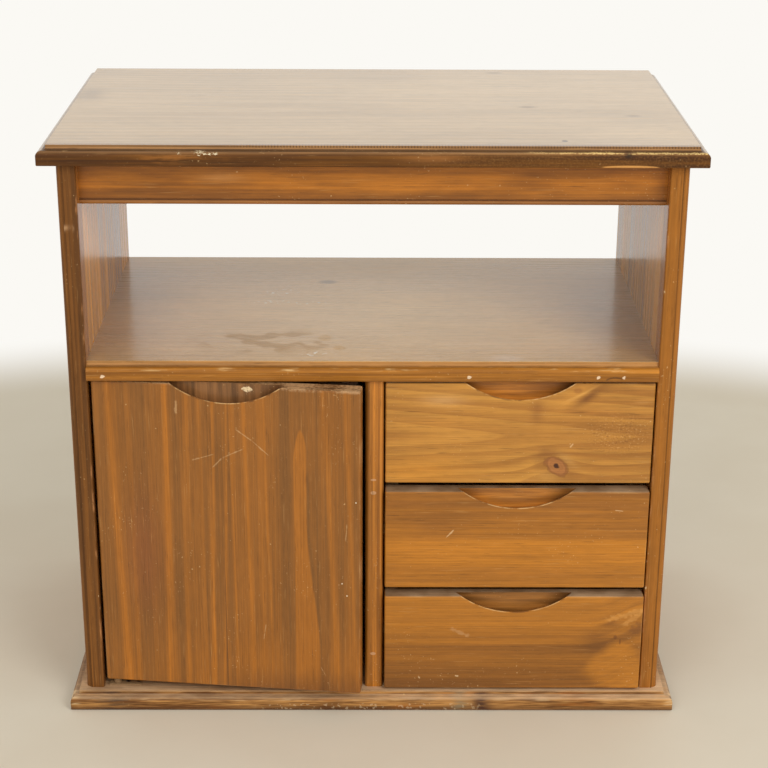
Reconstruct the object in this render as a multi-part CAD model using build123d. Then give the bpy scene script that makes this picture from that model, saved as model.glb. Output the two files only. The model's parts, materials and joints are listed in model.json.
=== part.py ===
from build123d import *
import os

# Stained pine cabinet: an open niche over a door on the left and three drawers on the right.
# Millimetres, +Z up, front towards -Y, origin on the floor at the centre of the base board.
# The door stands ajar and the lower drawers stand a little out, as they were left.

# Carcass sizes
inner_width = 600.0
cabinet_height = 643.0
side_depth = 368.0
cupboard_height = 369.5
edge_overhang = 16.0
shelf_overhang = 5.0
rail_recess = 18.0
rail_height = 48.0
divider_offset = 2.0
face_recess = 2.0

# Board thicknesses
top_thickness = 20.0
base_thickness = 20.0
shelf_thickness = 20.0
side_thickness = 20.0
divider_thickness = 20.0
rail_thickness = 20.0
back_thickness = 4.0

# Moulded edge of the top, shelf and base, from the flat outwards and down
step_height = 2.0
cove_radius = 3.0
ledge_width = 1.0
nose_radius = 5.0
underside_round = 1.5

# Rounded and beaded arrises
ovolo_radius = 6.0
ovolo_quirk = 1.2
side_inner_round = 1.5
divider_round = 4.0
bead_height = 5.2
bead_groove_radius = 0.9
bead_round = 2.0

# Rebate of the back panel
rebate_lap = 8.0
rebate_slip = 0.5
pin_radius = 0.8
pin_length = 20.0
pin_head_radius = 1.7
pin_head_height = 0.8

# Dowels of the carcass
dowel_radius = 4.0
dowel_length = 35.0
dowel_bite = 12.0
dowel_end_gap = 0.5
rail_dowel_spacing = 24.0
hole_slip = 0.1
side_dowel_shares = (0.15, 0.5, 0.85)
divider_dowel_shares = (0.2, 0.8)

# Door and its pivots
door_thickness = 18.0
door_hinge_gap = 4.0
door_free_gap = 2.0
door_top_gap = 2.0
door_bottom_gap = 8.5
door_ajar = 6.4
front_round = 2.0
pivot_inset = 10.0
pivot_radius = 2.5
pivot_reach = 12.0
pivot_running_gap = 0.05
pivot_end_gap = 1.0
bush_wall = 2.0
collar_wall = 2.0
collar_gap = 0.3
hinge_plate_thickness = 2.0
hinge_plate_width = 14.0
hinge_plate_length = 36.0
hinge_plate_heel = 9.0
hinge_screw_pitch = 12.0
inlay_slip = 0.2

# Finger scoops in the top edges of the door and drawer fronts
scoop_chord = 115.0
scoop_drop = 19.0
scoop_recess = 10.0
scoop_undercut = 4.0

# Magnetic catch of the door
catch_width = 40.0
catch_depth = 16.0
catch_height = 16.0
catch_side_gap = 8.0
catch_touch_gap = 0.3
magnet_width = 22.0
magnet_thickness = 4.0
magnet_depth = 10.0
pole_thickness = 1.5
pole_reach = 1.0
pocket_slip = 0.1
strike_width = 30.0
strike_height = 10.0
strike_thickness = 1.2

# Small countersunk screws of the hinge plates, catch and strike
small_screw_radius = 1.5
small_screw_length = 13.0
small_head_radius = 2.8
small_head_height = 1.4
catch_screw_length = 29.0

# Drawers, top to bottom
drawer_ajar = (0.0, 4.0, 8.0)
drawer_top_gap = 3.5
drawer_between_gap = 8.5
drawer_bottom_gap = 2.5
drawer_side_gap = 1.5
drawer_front_thickness = 18.0
box_side_gap = 2.5
box_lift = 8.0
box_drop = 12.0
box_back_gap = 3.0
drawer_side_thickness = 14.0
drawer_back_thickness = 12.0
drawer_bottom_thickness = 4.0
bottom_lift = 8.0
bottom_groove_depth = 6.0
bottom_slip = 0.15
bottom_side_slip = 0.3

# Drawer runners and their screws
runner_height = 14.0
runner_engagement = 7.0
runner_slip = 0.3
runner_side_slip = 0.8
runner_setback = 12.0
runner_screw_radius = 1.75
runner_screw_length = 25.0
runner_head_radius = 3.5
runner_head_height = 2.0
runner_screw_shares = (0.15, 0.85)

# Dowels and nails of the drawers
drawer_dowel_radius = 3.0
drawer_dowel_length = 24.0
drawer_dowel_bite = 9.0
nail_radius = 0.9
side_nail_length = 32.0
bottom_nail_length = 20.0
bottom_nail_shares = (0.25, 0.75)

# Cutting tools run this far past the faces they cut
overrun = 1.0

# Planes that the pieces share
outer_width = inner_width + 2 * side_thickness
board_width = outer_width + 2 * edge_overhang
board_depth = side_depth + edge_overhang
back_plane = board_depth / 2
front_plane = back_plane - side_depth
face_plane = front_plane + face_recess
left_wall = -inner_width / 2
right_wall = inner_width / 2
divider_left = divider_offset - divider_thickness / 2
divider_right = divider_offset + divider_thickness / 2
top_underside = cabinet_height - top_thickness
shelf_underside = base_thickness + cupboard_height
shelf_top = shelf_underside + shelf_thickness
side_height = top_underside - base_thickness
rebate_depth = back_thickness + pin_head_height
back_panel_front = back_plane - rebate_depth
door_back = face_plane + door_thickness

pieces = {}


# Shapes that several pieces use


def block(low, high):
    """Rectangular board between its lowest and highest corners."""
    size = [b - a for a, b in zip(low, high)]
    return Pos(*low) * Box(*size, align=(Align.MIN, Align.MIN, Align.MIN))


def rod(radius, length, start, direction):
    """Round bar from a start point along a direction."""
    return extrude(Plane(origin=start, z_dir=direction) * Circle(radius), length)


def along(start, direction, distance):
    """Point at a distance from a start point, along a direction."""
    return tuple(a + d * distance for a, d in zip(start, direction))


def dowel(radius, length, start, direction):
    """Plain dowel that starts at a point."""
    return rod(radius, length, start, direction)


def dowel_hole(radius, length, start, direction):
    """Hole for a dowel, with room round it and at both ends."""
    bottom = along(start, direction, -dowel_end_gap)
    return rod(radius + hole_slip, length + 2 * dowel_end_gap, bottom, direction)


def screw(start, direction, length, shank, head, head_height, slip=0.0):
    """Countersunk screw, or with slip its hole, from the face of its head."""
    frame = Plane(origin=start, z_dir=direction)
    cone = Cone(head + slip, shank + slip, head_height, align=(Align.CENTER, Align.CENTER, Align.MIN))
    return rod(shank + slip, length + slip, start, direction) + frame * cone


def small_screw(start, direction, slip=0.0, length=small_screw_length):
    """Small countersunk screw, or with slip its hole."""
    return screw(start, direction, length, small_screw_radius, small_head_radius, small_head_height, slip)


def moulded_section(edge, end, thickness):
    """Section of a board: moulded at edge, square at end, flat underside at zero height."""
    nose_low = thickness - step_height - cove_radius - nose_radius
    nose_high = nose_low + nose_radius
    cove_start = edge + nose_radius + ledge_width
    flat_start = cove_start + cove_radius
    outline = [
        CenterArc((edge + underside_round, underside_round), underside_round, 270, -90),
        Line((edge, underside_round), (edge, nose_low)),
        CenterArc((edge + nose_radius, nose_low), nose_radius, 180, -90),
        Line((edge + nose_radius, nose_high), (cove_start, nose_high)),
        CenterArc((cove_start, nose_high + cove_radius), cove_radius, 270, 90),
        Line((flat_start, nose_high + cove_radius), (flat_start, thickness)),
        Line((flat_start, thickness), (end, thickness)),
        Line((end, thickness), (end, 0)),
        Line((end, 0), (edge + underside_round, 0)),
    ]
    return make_face(outline)


def moulded_board(thickness):
    """Board with the moulding on its front and both sides, mitred at the front corners."""
    front_section = Plane.YZ * moulded_section(-board_depth / 2, back_plane, thickness)
    left_section = Plane.XZ * moulded_section(-board_width / 2, 0, thickness)
    front = extrude(front_section, board_width, both=True)
    left = extrude(left_section, board_depth, both=True)
    return front & (left + mirror(left, Plane.YZ))


def with_scoop(board, centre, top, face):
    """Board with a blind, undercut finger scoop in its top edge, cut from its front face."""
    radius = (scoop_chord**2 / 4 + scoop_drop**2) / (2 * scoop_drop)
    flare = scoop_undercut / scoop_recess
    front_radius = radius - flare * overrun
    tool = Cone(front_radius, radius + scoop_undercut, scoop_recess + overrun,
                align=(Align.CENTER, Align.CENTER, Align.MIN))
    start = (centre, face - overrun, top - scoop_drop + radius)
    return board - Plane(origin=start, z_dir=(0, 1, 0)) * tool


def rounded_front(low, high):
    """Board whose front arrises and corners are softened."""
    board = block(low, high)
    arrises = board.edges().group_by(Axis.Y)[0] + board.edges().filter_by(Axis.Y)
    return fillet(arrises, front_round)


def group(solids):
    """Like fasteners kept together as separate solids."""
    return Compound([shape.solid() for shape in solids])


# Dowels of the carcass: where each starts, and which way it points

dowel_rows = [front_plane + side_depth * share for share in side_dowel_shares]
side_centres = (left_wall - side_thickness / 2, right_wall + side_thickness / 2)
shelf_middle = shelf_underside + shelf_thickness / 2
rail_low = top_underside - rail_height
rail_front = front_plane + rail_recess
rear_rail_front = back_plane - rail_thickness
divider_depth = back_panel_front - face_plane

top_starts = [((x, y, top_underside + dowel_bite), (0, 0, -1)) for x in side_centres for y in dowel_rows]
base_starts = [((x, y, base_thickness - dowel_bite), (0, 0, 1)) for x in side_centres for y in dowel_rows]
shelf_starts = []
rail_starts = []
for wall, way in ((left_wall, 1), (right_wall, -1)):
    for y in dowel_rows:
        shelf_starts.append(((wall - way * dowel_bite, y, shelf_middle), (way, 0, 0)))
    for rail in (rail_front, rear_rail_front):
        for side in (-1, 1):
            height = rail_low + rail_height / 2 + side * rail_dowel_spacing / 2
            rail_starts.append(((wall - way * dowel_bite, rail + rail_thickness / 2, height), (way, 0, 0)))
divider_starts = []
for share in divider_dowel_shares:
    y = face_plane + divider_depth * share
    divider_starts.append(((divider_offset, y, base_thickness - dowel_bite), (0, 0, 1)))
    divider_starts.append(((divider_offset, y, shelf_underside + dowel_bite), (0, 0, -1)))

for name, starts in (("top", top_starts), ("base", base_starts), ("shelf", shelf_starts),
                     ("rail", rail_starts), ("divider", divider_starts)):
    pieces[f"{name}_dowels"] = group(dowel(dowel_radius, dowel_length, *start) for start in starts)


def dowel_holes(*rows):
    """Holes for the dowels of some joints."""
    return [dowel_hole(dowel_radius, dowel_length, *start) for starts in rows for start in starts]


# Back panel: hardboard in a rebate of the sides, shelf and base, held by pins

rebate_low = (left_wall - rebate_lap, back_panel_front, base_thickness - rebate_lap)
rebate_high = (right_wall + rebate_lap, back_plane, shelf_underside + rebate_lap)
rebate = block(rebate_low, along(rebate_high, (0, 1, 0), overrun))
back_low = along(rebate_low, (1, 0, 1), rebate_slip)
back_high = along(rebate_high, (1, 0, 1), -rebate_slip)
pin_face = back_panel_front + back_thickness
pin_columns = (left_wall - rebate_lap / 2, right_wall + rebate_lap / 2)
pin_rows = (base_thickness - rebate_lap / 2, shelf_underside + rebate_lap / 2)
pin_places = []
for share in side_dowel_shares:
    height = base_thickness + cupboard_height * share
    pin_places += [(x, height) for x in (*pin_columns, divider_offset)]
    pin_places += [(left_wall + inner_width * share, z) for z in pin_rows]


def back_pin(x, z, slip=0.0):
    """Flat-headed pin driven from behind, or with slip its hole."""
    seat = (x, pin_face, z)
    shank = rod(pin_radius + slip, pin_length + slip, seat, (0, -1, 0))
    return shank + rod(pin_head_radius + slip, pin_head_height, seat, (0, 1, 0))


pin_holes = [back_pin(x, z, hole_slip) for x, z in pin_places]
pieces["back_panel"] = block(back_low, (back_high[0], pin_face, back_high[2])) - pin_holes
pieces["back_panel_pins"] = group(back_pin(x, z) for x, z in pin_places)

# Drawer places, from the top drawer down

fronts_height = cupboard_height - drawer_top_gap - drawer_bottom_gap
front_height = (fronts_height - drawer_between_gap * (len(drawer_ajar) - 1)) / len(drawer_ajar)
front_pitch = front_height + drawer_between_gap
front_top = shelf_underside - drawer_top_gap
front_lows = [front_top - front_height - front_pitch * n for n in range(len(drawer_ajar))]
box_height = front_height - box_lift - box_drop
box_front = face_plane + drawer_front_thickness
box_back = back_panel_front - box_back_gap
runner_width = box_side_gap + runner_engagement
runner_front = box_front + runner_setback

# Drawer runners: hardwood strips screwed to the divider and the right side panel

runner_screws = []
divider_screw_holes = []
side_screw_holes = []
for number, low in enumerate(front_lows, start=1):
    middle = low + box_lift + box_height / 2
    for hand, wall, way in (("left", divider_right, 1), ("right", right_wall, -1)):
        inner = wall + way * runner_width
        strip_low = (min(wall, inner), runner_front, middle - runner_height / 2)
        strip_high = (max(wall, inner), back_panel_front, middle + runner_height / 2)
        reach = back_panel_front - runner_front
        seats = [(inner, runner_front + reach * share, middle) for share in runner_screw_shares]
        sizes = (runner_screw_length, runner_screw_radius, runner_head_radius, runner_head_height)
        holes = [screw(seat, (-way, 0, 0), *sizes, hole_slip) for seat in seats]
        runner_screws += [screw(seat, (-way, 0, 0), *sizes) for seat in seats]
        pieces[f"drawer_{number}_{hand}_runner"] = block(strip_low, strip_high) - holes
        if hand == "left":
            divider_screw_holes += holes
        else:
            side_screw_holes += holes
pieces["runner_screws"] = group(runner_screws)

# Pivots of the door: plates with pins on base and shelf, bushes in the door's edges

pivot_x = left_wall + door_hinge_gap + pivot_inset
pivot_y = face_plane + door_thickness / 2
door_left = left_wall + door_hinge_gap
door_right = divider_left - door_free_gap
door_low = base_thickness + door_bottom_gap
door_high = shelf_underside - door_top_gap
bush_radius = pivot_radius + pivot_running_gap + bush_wall
bush_length = pivot_reach + pivot_end_gap
hinge_screw_xs = [pivot_x + hinge_screw_pitch * n for n in (1, 2)]


def hinge_plate(level, grow=0.0):
    """Plate of a pivot from a level upwards, or with grow the inlay for it."""
    heel = pivot_x - hinge_plate_heel
    half_width = hinge_plate_width / 2 + grow
    low = (heel - grow, pivot_y - half_width, level)
    high = (heel + hinge_plate_length + grow, pivot_y + half_width, level + hinge_plate_thickness)
    return block(low, high)


lower_face = base_thickness + hinge_plate_thickness
upper_face = shelf_underside
lower_screw_seats = [((x, pivot_y, lower_face), (0, 0, -1)) for x in hinge_screw_xs]
upper_screw_seats = [((x, pivot_y, upper_face), (0, 0, 1)) for x in hinge_screw_xs]
lower_screw_holes = [small_screw(*seat, hole_slip) for seat in lower_screw_seats]
upper_screw_holes = [small_screw(*seat, hole_slip) for seat in upper_screw_seats]
collar_height = door_low - collar_gap - lower_face
lower_length = door_low + pivot_reach - base_thickness
lower_pin = rod(pivot_radius, lower_length, (pivot_x, pivot_y, base_thickness), (0, 0, 1))
collar = rod(pivot_radius + collar_wall, collar_height, (pivot_x, pivot_y, lower_face), (0, 0, 1))
upper_top = shelf_underside + hinge_plate_thickness
upper_length = upper_top - door_high + pivot_reach
upper_pin = rod(pivot_radius, upper_length, (pivot_x, pivot_y, upper_top), (0, 0, -1))
pieces["lower_hinge_plate"] = hinge_plate(base_thickness) + collar + lower_pin - lower_screw_holes
pieces["upper_hinge_plate"] = hinge_plate(shelf_underside) + upper_pin - upper_screw_holes
pieces["hinge_plate_screws"] = group(small_screw(*seat) for seat in lower_screw_seats + upper_screw_seats)

# Magnetic catch under the shelf, at the free edge of the door

catch_high = shelf_underside
catch_right = divider_left - catch_side_gap
catch_x = catch_right - catch_width / 2
catch_front = door_back + strike_thickness + catch_touch_gap + pole_reach
catch_z = catch_high - catch_height / 2
stack_height = magnet_thickness + 2 * pole_thickness
pocket_low = (catch_x - magnet_width / 2, catch_front, catch_z - stack_height / 2)
pocket_high = (catch_x + magnet_width / 2, catch_front + magnet_depth, catch_z + stack_height / 2)
pocket = block(along(pocket_low, (1, 0, 1), -pocket_slip), along(pocket_high, (1, 1, 1), pocket_slip))
ear_width = (catch_width - magnet_width) / 2
catch_seats = []
for side in (-1, 1):
    x = catch_x + side * (catch_width - ear_width) / 2
    catch_seats.append(((x, catch_front + catch_depth / 2, catch_high - catch_height), (0, 0, 1)))
catch_holes = [small_screw(*seat, hole_slip, catch_screw_length) for seat in catch_seats]
housing = block((catch_x - catch_width / 2, catch_front, catch_high - catch_height),
                (catch_right, catch_front + catch_depth, catch_high))
pieces["catch_housing"] = housing - [pocket, *catch_holes]
magnet_low = along(pocket_low, (0, 0, 1), pole_thickness)
magnet_high = along(pocket_high, (0, 0, 1), -pole_thickness)
pieces["catch_magnet"] = block(magnet_low, magnet_high)
plate_front = along(pocket_low, (0, -1, 0), pole_reach)
pieces["catch_pole_plates"] = group([
    block(plate_front, (pocket_high[0], pocket_high[1], pocket_low[2] + pole_thickness)),
    block((pocket_low[0], plate_front[1], pocket_high[2] - pole_thickness), pocket_high),
])
pieces["catch_screws"] = group(small_screw(*seat, 0.0, catch_screw_length) for seat in catch_seats)

# Top and base boards

top_board = Pos(0, 0, top_underside) * moulded_board(top_thickness)
pieces["top_board"] = top_board - dowel_holes(top_starts)
base_board = moulded_board(base_thickness) - dowel_holes(base_starts, divider_starts)
pieces["base_board"] = base_board - [rebate, *pin_holes, *lower_screw_holes]

# Side panels, with an ovolo and quirk on the outer front arris


def side_outline():
    """Plan of the left panel: outer face at zero, front edge at zero depth."""
    arc_start = ovolo_quirk + ovolo_radius
    inner_start = side_thickness - side_inner_round
    return make_face([
        Line((0, side_depth), (0, arc_start)),
        CenterArc((ovolo_radius, arc_start), ovolo_radius, 180, 90),
        Line((ovolo_radius, ovolo_quirk), (ovolo_radius, 0)),
        Line((ovolo_radius, 0), (inner_start, 0)),
        CenterArc((inner_start, side_inner_round), side_inner_round, 270, 90),
        Line((side_thickness, side_inner_round), (side_thickness, side_depth)),
        Line((side_thickness, side_depth), (0, side_depth)),
    ])


side = Pos(left_wall - side_thickness, front_plane, base_thickness) * extrude(side_outline(), side_height)
side_holes = [rebate, *pin_holes, *dowel_holes(top_starts, base_starts, shelf_starts, rail_starts)]
pieces["left_side_panel"] = side - side_holes
pieces["right_side_panel"] = mirror(side, Plane.YZ) - side_holes - side_screw_holes

# Shelf, divider and rails

shelf_section = moulded_section(front_plane - shelf_overhang, back_plane, shelf_thickness)
shelf = Pos(0, 0, shelf_underside) * extrude(Plane.YZ * shelf_section, inner_width / 2, both=True)
shelf_holes = [*dowel_holes(shelf_starts, divider_starts), *pin_holes, *upper_screw_holes, *catch_holes]
hinge_inlay = hinge_plate(shelf_underside, inlay_slip)
pieces["middle_shelf"] = shelf - [rebate, hinge_inlay, *shelf_holes]

divider = block((divider_left, face_plane, base_thickness),
                (divider_right, back_panel_front, shelf_underside))
divider = fillet(divider.edges().filter_by(Axis.Z).group_by(Axis.Y)[0], divider_round)
pieces["centre_divider"] = divider - [*dowel_holes(divider_starts), *pin_holes, *divider_screw_holes]

rail = block((left_wall, rail_front, rail_low), (right_wall, rail_front + rail_thickness, top_underside))
rail = fillet(rail.edges().filter_by(Axis.X).group_by(Axis.Y)[0].sort_by(Axis.Z)[0], bead_round)
bead_groove = rod(bead_groove_radius, inner_width, (left_wall, rail_front, rail_low + bead_height), (1, 0, 0))
pieces["front_apron_rail"] = rail - [bead_groove, *dowel_holes(rail_starts)]
rear_rail = block((left_wall, rear_rail_front, rail_low), (right_wall, back_plane, top_underside))
pieces["rear_top_rail"] = rear_rail - dowel_holes(rail_starts)

# Door, made shut and then turned on its pivots to stand ajar

door = rounded_front((door_left, face_plane, door_low), (door_right, door_back, door_high))
door = with_scoop(door, (door_left + door_right) / 2, door_high, face_plane)
strike_seat = ((catch_x, door_back + strike_thickness, catch_z), (0, -1, 0))
strike_hole = small_screw(*strike_seat, hole_slip)
lower_bush_start = ((pivot_x, pivot_y, door_low), (0, 0, 1))
upper_bush_start = ((pivot_x, pivot_y, door_high), (0, 0, -1))
bush_starts = {"lower": lower_bush_start, "upper": upper_bush_start}
bush_holes = [rod(bush_radius + hole_slip, bush_length, *start) for start in bush_starts.values()]
strike_plate = block((catch_x - strike_width / 2, door_back, catch_z - strike_height / 2),
                     (catch_x + strike_width / 2, strike_seat[0][1], catch_z + strike_height / 2))
door_pieces = {
    "door_panel": door - [strike_hole, *bush_holes],
    "strike_plate": strike_plate - strike_hole,
    "strike_screw": small_screw(*strike_seat),
}
for name, start in bush_starts.items():
    bore = rod(pivot_radius + pivot_running_gap, bush_length, *start)
    door_pieces[f"{name}_door_bush"] = rod(bush_radius, bush_length, *start) - bore
pivot_axis = Axis((pivot_x, pivot_y, 0), (0, 0, 1))
for name, shape in door_pieces.items():
    pieces[name] = shape.rotate(pivot_axis, -door_ajar)

# Drawers, made shut and then drawn out a little


def drawer(low):
    """Pieces of one shut drawer whose front starts at a height."""
    left = divider_right + box_side_gap
    right = right_wall - box_side_gap
    inner_left = left + drawer_side_thickness
    inner_right = right - drawer_side_thickness
    side_low = low + box_lift
    side_high = side_low + box_height
    middle = side_low + box_height / 2
    bottom_low = side_low + bottom_lift
    bottom_high = bottom_low + drawer_bottom_thickness
    back_front = box_back - drawer_back_thickness
    front_left = divider_right + drawer_side_gap
    front_right = right_wall - drawer_side_gap

    # Groove for the bottom, in the front and both sides
    groove_low = (inner_left - bottom_groove_depth, box_front - bottom_groove_depth, bottom_low - bottom_slip)
    groove_high = (inner_right + bottom_groove_depth, box_back + overrun, bottom_high + bottom_slip)
    bottom_groove = block(groove_low, groove_high)

    # Grooves for the runners, in the outer faces of the sides
    half_groove = runner_height / 2 + runner_slip
    groove_depth = runner_engagement + runner_side_slip
    groove_reach = (box_front - overrun, box_back + overrun)
    left_groove = block((left - overrun, groove_reach[0], middle - half_groove),
                        (left + groove_depth, groove_reach[1], middle + half_groove))
    right_groove = block((right - groove_depth, groove_reach[0], middle - half_groove),
                         (right + overrun, groove_reach[1], middle + half_groove))

    # Dowels from the front into the sides, nails from the sides and bottom into the back.
    # They sit in the middle of the wood below and above the runner groove.
    fixing_heights = ((bottom_high + middle - half_groove) / 2, (side_high + middle + half_groove) / 2)
    dowel_starts = []
    nail_starts = []
    for x in (left + drawer_side_thickness / 2, right - drawer_side_thickness / 2):
        for height in fixing_heights:
            start = (x, box_front - drawer_dowel_bite, height)
            dowel_starts.append((drawer_dowel_radius, drawer_dowel_length, start, (0, 1, 0)))
    nail_y = box_back - drawer_back_thickness / 2
    for x, way in ((left, 1), (right, -1)):
        for height in fixing_heights:
            nail_starts.append((nail_radius, side_nail_length, (x, nail_y, height), (way, 0, 0)))
    for share in bottom_nail_shares:
        x = inner_left + (inner_right - inner_left) * share
        nail_starts.append((nail_radius, bottom_nail_length, (x, nail_y, bottom_low), (0, 0, 1)))
    dowel_cuts = [dowel_hole(*start) for start in dowel_starts]
    nail_cuts = [rod(radius + hole_slip, length + hole_slip, start, way)
                 for radius, length, start, way in nail_starts]

    front = rounded_front((front_left, face_plane, low), (front_right, box_front, low + front_height))
    front = with_scoop(front, (front_left + front_right) / 2, low + front_height, face_plane)
    side_cuts = [bottom_groove, *dowel_cuts, *nail_cuts]
    left_side = block((left, box_front, side_low), (inner_left, box_back, side_high))
    right_side = block((inner_right, box_front, side_low), (right, box_back, side_high))
    back = block((inner_left, back_front, bottom_high), (inner_right, box_back, side_high))
    bottom = block((groove_low[0] + bottom_side_slip, groove_low[1] + bottom_side_slip, bottom_low),
                   (groove_high[0] - bottom_side_slip, box_back, bottom_high))
    return {
        "front": front - [bottom_groove, *dowel_cuts],
        "left_side": left_side - [left_groove, *side_cuts],
        "right_side": right_side - [right_groove, *side_cuts],
        "back": back - nail_cuts,
        "bottom": bottom - nail_cuts,
        "dowels": group(dowel(*start) for start in dowel_starts),
        "nails": group(rod(*start) for start in nail_starts),
    }


for number, (low, ajar) in enumerate(zip(front_lows, drawer_ajar), start=1):
    for name, shape in drawer(low).items():
        pieces[f"drawer_{number}_{name}"] = Pos(0, -ajar, 0) * shape

# Write the pieces

os.makedirs("parts", exist_ok=True)
for name, shape in pieces.items():
    export_step(shape, f"parts/{name}.step")
print(len(pieces), "pieces")
print("pivot", round(pivot_x, 3), round(pivot_y, 3), "front height", round(front_height, 3))
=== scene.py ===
import json
import math

import bpy
import numpy as np
from mathutils import Euler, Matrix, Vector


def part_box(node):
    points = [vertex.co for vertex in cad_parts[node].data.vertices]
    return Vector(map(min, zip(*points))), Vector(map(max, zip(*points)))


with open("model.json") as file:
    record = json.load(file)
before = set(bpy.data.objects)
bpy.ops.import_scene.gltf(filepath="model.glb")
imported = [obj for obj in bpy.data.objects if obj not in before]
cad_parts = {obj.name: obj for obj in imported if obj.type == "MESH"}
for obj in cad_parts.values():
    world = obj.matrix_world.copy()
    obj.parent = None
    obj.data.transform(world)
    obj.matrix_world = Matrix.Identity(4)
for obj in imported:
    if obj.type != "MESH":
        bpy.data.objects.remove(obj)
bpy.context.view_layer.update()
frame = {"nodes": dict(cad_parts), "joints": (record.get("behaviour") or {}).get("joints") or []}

# Base board: edge-glued pine that lies flat on the floor and carries the sides and the divider on dowels.
# One cutter gave its front and side edges the same moulding as the top. Feet and brooms have worn it most:
# dust lies on its ledges, and the stain has rubbed off its arrises.


class Field:
    """A number or colour that varies over a surface, held as a shader socket.

    Arithmetic on Fields adds the nodes that work it out, so each pattern below reads as its formula.
    """

    def __init__(self, tree, socket):
        self.tree = tree
        self.socket = socket

    def made(self, kind, values, output=0, **settings):
        """A Field from a new node, whose inputs are linked or set in order; None leaves one as it is."""
        node = self.tree.nodes.new(kind)
        for name, value in settings.items():
            setattr(node, name, value)
        for slot, value in zip(node.inputs, values):
            if isinstance(value, Field):
                self.tree.links.new(value.socket, slot)
            elif value is not None:
                slot.default_value = value
        return Field(self.tree, node.outputs[output])

    def math(self, operation, *others):
        return self.made("ShaderNodeMath", (self, *others), operation=operation)

    def __add__(self, other):
        return self.math("ADD", other)

    def __sub__(self, other):
        return self.math("SUBTRACT", other)

    def __mul__(self, other):
        return self.math("MULTIPLY", other)

    def __truediv__(self, other):
        return self.math("DIVIDE", other)

    def __abs__(self):
        return self.math("ABSOLUTE")

    def squared(self):
        return self.math("MULTIPLY", self)

    def root(self):
        return self.math("SQRT")

    def bell(self, middle, half_width):
        """exp(-d * d), where d is the distance from the middle in half widths."""
        return (((self - middle) / half_width).squared() * -1.0).math("EXPONENT")

    def rise(self, low, high):
        """Smooth step from 0 at low to 1 at high; it falls where low is the larger."""
        return self.made("ShaderNodeMapRange", (self, low, high), interpolation_type="SMOOTHSTEP")

    def band(self, low, high, soft):
        """1 between low and high, fading to 0 over soft outside them."""
        return self.rise(low - soft, low) * self.rise(high + soft, high)

    def between(self, colour, other):
        """Colour where this share is 0, and the other where it is 1."""
        values = (self, None, None, None, None, None, colour, other)
        return self.made("ShaderNodeMix", values, output=2, data_type="RGBA")

    def mixed(self, other, share):
        """This colour where share is 0, and the other where share is 1."""
        return share.between(self, other)

    def lit(self, factor):
        """This colour, made lighter or darker by a factor."""
        values = (self, None, None, factor)
        return self.made("ShaderNodeVectorMath", values, operation="SCALE")


class Grain:
    """Places on a board, in metres: u along the grain, v across the face and w through the board.

    up is how far the surface faces the ceiling, from -1 to 1.
    """

    def __init__(self, tree, axes, origin=(0, 0, 0), turn=0.0):
        self.tree = tree
        coordinates = tree.nodes.new("ShaderNodeTexCoord")
        mapping = tree.nodes.new("ShaderNodeMapping")
        mapping.vector_type = "TEXTURE"
        mapping.inputs["Location"].default_value = origin
        mapping.inputs["Rotation"].default_value = (0, 0, turn)
        tree.links.new(coordinates.outputs["Object"], mapping.inputs["Vector"])
        place = tree.nodes.new("ShaderNodeSeparateXYZ")
        tree.links.new(mapping.outputs["Vector"], place.inputs[0])
        self.u, self.v, self.w = (Field(tree, place.outputs[axis]) for axis in axes)
        self.place = self.u.made("ShaderNodeCombineXYZ", (self.u, self.v, self.w))
        normal = tree.nodes.new("ShaderNodeSeparateXYZ")
        tree.links.new(coordinates.outputs["Normal"], normal.inputs[0])
        self.up = Field(tree, normal.outputs["Z"])

    def stretched(self, cells, seed):
        """The place in cells, of which cells gives how many go to the metre along u, v and w."""
        shift = (seed * 3.1, seed * 1.7, seed * 2.3)
        return self.place.made("ShaderNodeMapping", (self.place, shift, None, cells))

    def noise(self, cells, detail=2.0, seed=0.0):
        """Cloudy field about zero, mostly from -0.2 to 0.2."""
        values = (self.stretched(cells, seed), None, 1.0, detail)
        return self.place.made("ShaderNodeTexNoise", values) - 0.5

    def fibres(self, seed):
        """Fine lines along the grain, less than a millimetre apart."""
        return self.noise((9.0, 620.0, 620.0), 3.0, seed)

    def nicks(self, cells, share, seed):
        """Small ragged marks, so many cells to the metre; share is how rare they are, from 0 to 0.4."""
        return self.noise((cells, cells, cells), 1.0, seed).rise(share, share + 0.05)

    def turned(self, middle, tilt):
        """Distances along and beside a line through a place (u, v), turned by a tilt from u."""
        off_u, off_v = self.u - middle[0], self.v - middle[1]
        along = off_u * math.cos(tilt) + off_v * math.sin(tilt)
        return along, off_v * math.cos(tilt) - off_u * math.sin(tilt)

    def spot(self, middle, half_length, half_height, tilt=0.0):
        """Soft oval patch at a place (u, v), with its length turned by a tilt from u."""
        along, beside = self.turned(middle, tilt)
        return along.bell(0.0, half_length) * beside.bell(0.0, half_height)


def stain(red, green, blue):
    """Colour of a finish, from display values of 0 to 255 to linear light."""
    display = np.array((red, green, blue)) / 255
    linear = np.where(display <= 0.04045, display / 12.92, ((display + 0.055) / 1.055) ** 2.4)
    return (*linear.tolist(), 1.0)


def finish_for(*nodes):
    """Nodes of a new material on CAD nodes, named after the first of them."""
    material = bpy.data.materials.new(nodes[0] + "_finish")
    material.use_nodes = True
    for node in nodes:
        for slot in frame["nodes"][node].material_slots:
            slot.material = material
    return material.node_tree


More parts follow.
